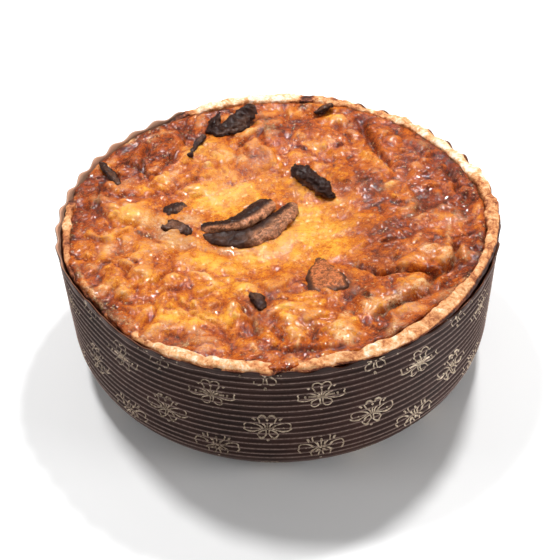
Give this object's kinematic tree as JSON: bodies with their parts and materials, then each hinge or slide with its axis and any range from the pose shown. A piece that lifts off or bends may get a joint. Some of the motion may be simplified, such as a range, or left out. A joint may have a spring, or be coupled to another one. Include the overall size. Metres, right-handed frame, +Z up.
{
  "type": "quiche in paper mould",
  "caption": "Deep round mushroom quiche with an uneven pastry rim and a browned custard top, in its fluted paper baking mould.",
  "frame": {"origin": "middle of the paper mould's flat underside", "axes": "+Z up, away from the underside; -Y is the side the picture shows in front, +X is to its right"},
  "size_m": [0.17, 0.17, 0.0661],
  "materials": {
    "brown_paper": "satin ribbed paper with pale line-drawn blossoms",
    "pale_pastry": "dry baked shortcrust, browned in places",
    "browned_custard": "moist baked egg custard, golden to dark brown",
    "roasted_mushroom": "dark roasted, slightly moist"
  },
  "bodies": {
    "root": {"paper_mould": "brown_paper", "pastry_shell": "pale_pastry", "custard_filling": "browned_custard", "mushroom_slice_centre": "roasted_mushroom", "mushroom_slice_left_upper": "roasted_mushroom", "mushroom_slice_left_lower": "roasted_mushroom", "mushroom_cap_back": "roasted_mushroom", "mushroom_curl_back_left": "roasted_mushroom", "mushroom_tail_back_left": "roasted_mushroom", "mushroom_slice_front_right": "roasted_mushroom", "mushroom_piece_front": "roasted_mushroom", "mushroom_piece_back_right": "roasted_mushroom", "mushroom_strip_left": "roasted_mushroom"}
  },
  "joints": []
}
